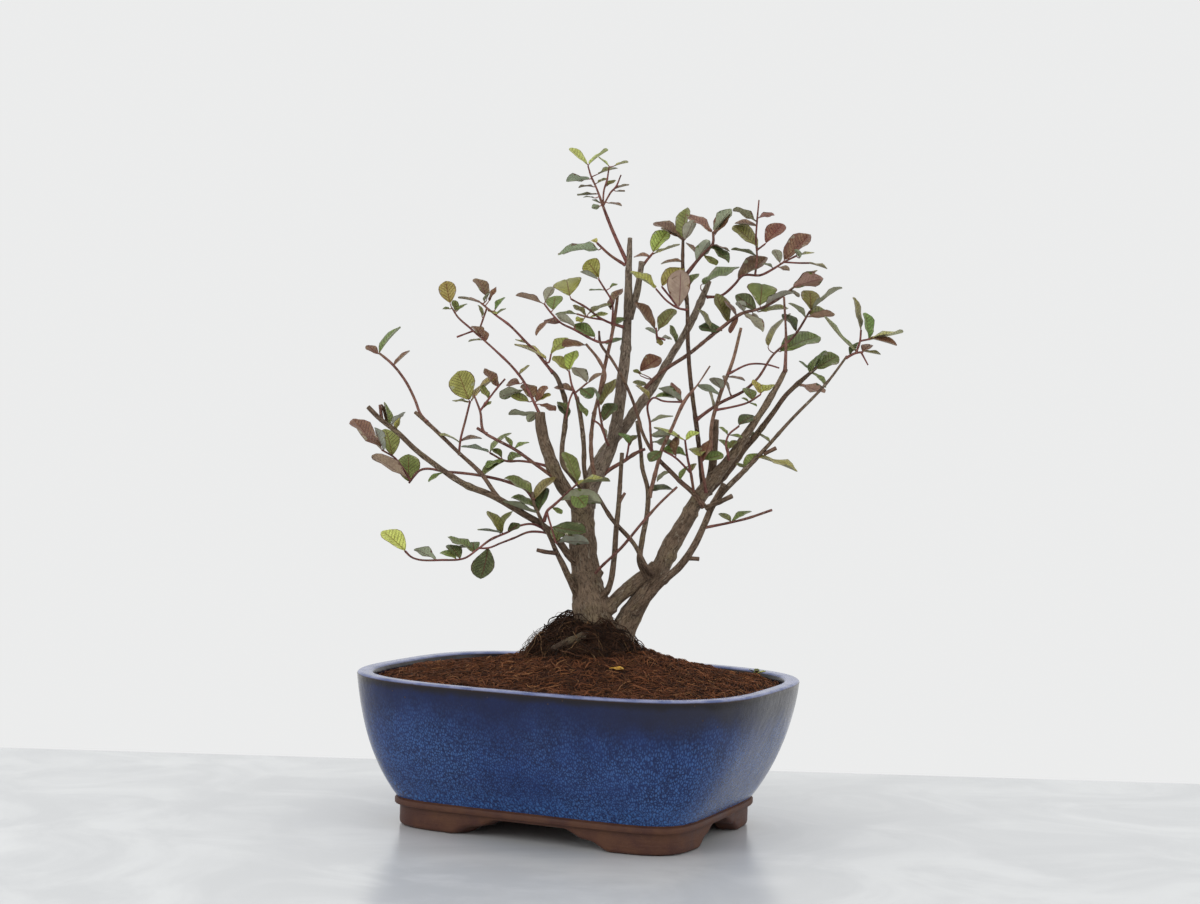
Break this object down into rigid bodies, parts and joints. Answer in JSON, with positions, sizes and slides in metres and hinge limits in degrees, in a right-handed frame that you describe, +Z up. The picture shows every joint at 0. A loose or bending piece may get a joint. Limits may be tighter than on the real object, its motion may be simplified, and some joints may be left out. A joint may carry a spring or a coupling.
{
  "type": "bonsai tree in a pot",
  "caption": "Twin-trunk New Zealand myrtle bonsai with small round leaves, rooted in coir mix in a blue-glazed soft-cornered pot on stepped clay feet.",
  "frame": {"origin": "on the ground under the middle of the tree and pot together", "axes": "+Z up the tree, +X along the pot's long side, the pot's front long side towards -Y"},
  "size_m": [0.317, 0.2128, 0.4154],
  "materials": {
    "blue_glaze": "glossy mottled blue glaze over red-brown clay, unglazed feet",
    "potting_mix": "matt red-brown coir fibres",
    "fibrous_roots": "matt dark fibrous roots",
    "drain_mesh": "black plastic mesh",
    "copper_wire": "dull copper-coloured wire",
    "bark": "grey-brown bark, finely flaky",
    "young_bark": "smooth tan bark",
    "leafy_shoots": "satin leaves from bronze to lime green on red-brown twigs",
    "seedling": "soft green leaves",
    "dry_leaf": "dry yellow leaf"
  },
  "bodies": {
    "root": {"branch_left_long": "bark", "branch_left_side": "bark", "branch_left_thin": "bark", "branch_left_upper": "bark", "drain_mesh_left": "drain_mesh", "drain_mesh_right": "drain_mesh", "fallen_leaf": "dry_leaf", "leader": "bark", "limb_back": "bark", "limb_left": "bark", "limb_right_dark": "bark", "limb_right_front": "bark", "mesh_wire_left": "copper_wire", "mesh_wire_right": "copper_wire", "pot": "blue_glaze", "potting_soil": "potting_mix", "root_ball": "fibrous_roots", "seedling": "seedling", "shoot_apex": "leafy_shoots", "shoot_back_low": "leafy_shoots", "shoot_centre": "leafy_shoots", "shoot_centre_left": "leafy_shoots", "shoot_centre_right": "leafy_shoots", "shoot_far_right": "leafy_shoots", "shoot_hub": "leafy_shoots", "shoot_leader_left": "leafy_shoots", "shoot_leader_low": "leafy_shoots", "shoot_leader_right": "leafy_shoots", "shoot_left_hang": "leafy_shoots", "shoot_left_low": "leafy_shoots", "shoot_left_middle": "leafy_shoots", "shoot_left_red": "leafy_shoots", "shoot_lime": "leafy_shoots", "shoot_middle_left": "leafy_shoots", "shoot_right_inner": "leafy_shoots", "shoot_tan_spur": "leafy_shoots", "shoot_top_right": "leafy_shoots", "shoot_trunk_right": "leafy_shoots", "shoot_upper_left_a": "leafy_shoots", "shoot_upper_left_b": "leafy_shoots", "shoot_upper_middle": "leafy_shoots", "stem_back_right": "bark", "stem_dark_tall": "bark", "stem_fork": "bark", "stem_front_left": "bark", "stem_left_b": "bark", "stem_left_c": "bark", "stem_left_d": "young_bark", "stem_left_thin": "bark", "stem_long_cross": "bark", "stem_low_cross": "bark", "stem_middle": "bark", "stem_right_thin": "bark", "stem_tan_middle": "young_bark", "stem_tan_right": "young_bark", "stump_right": "bark", "surface_root": "bark", "trunk_left": "bark", "trunk_right": "bark"}
  },
  "joints": []
}
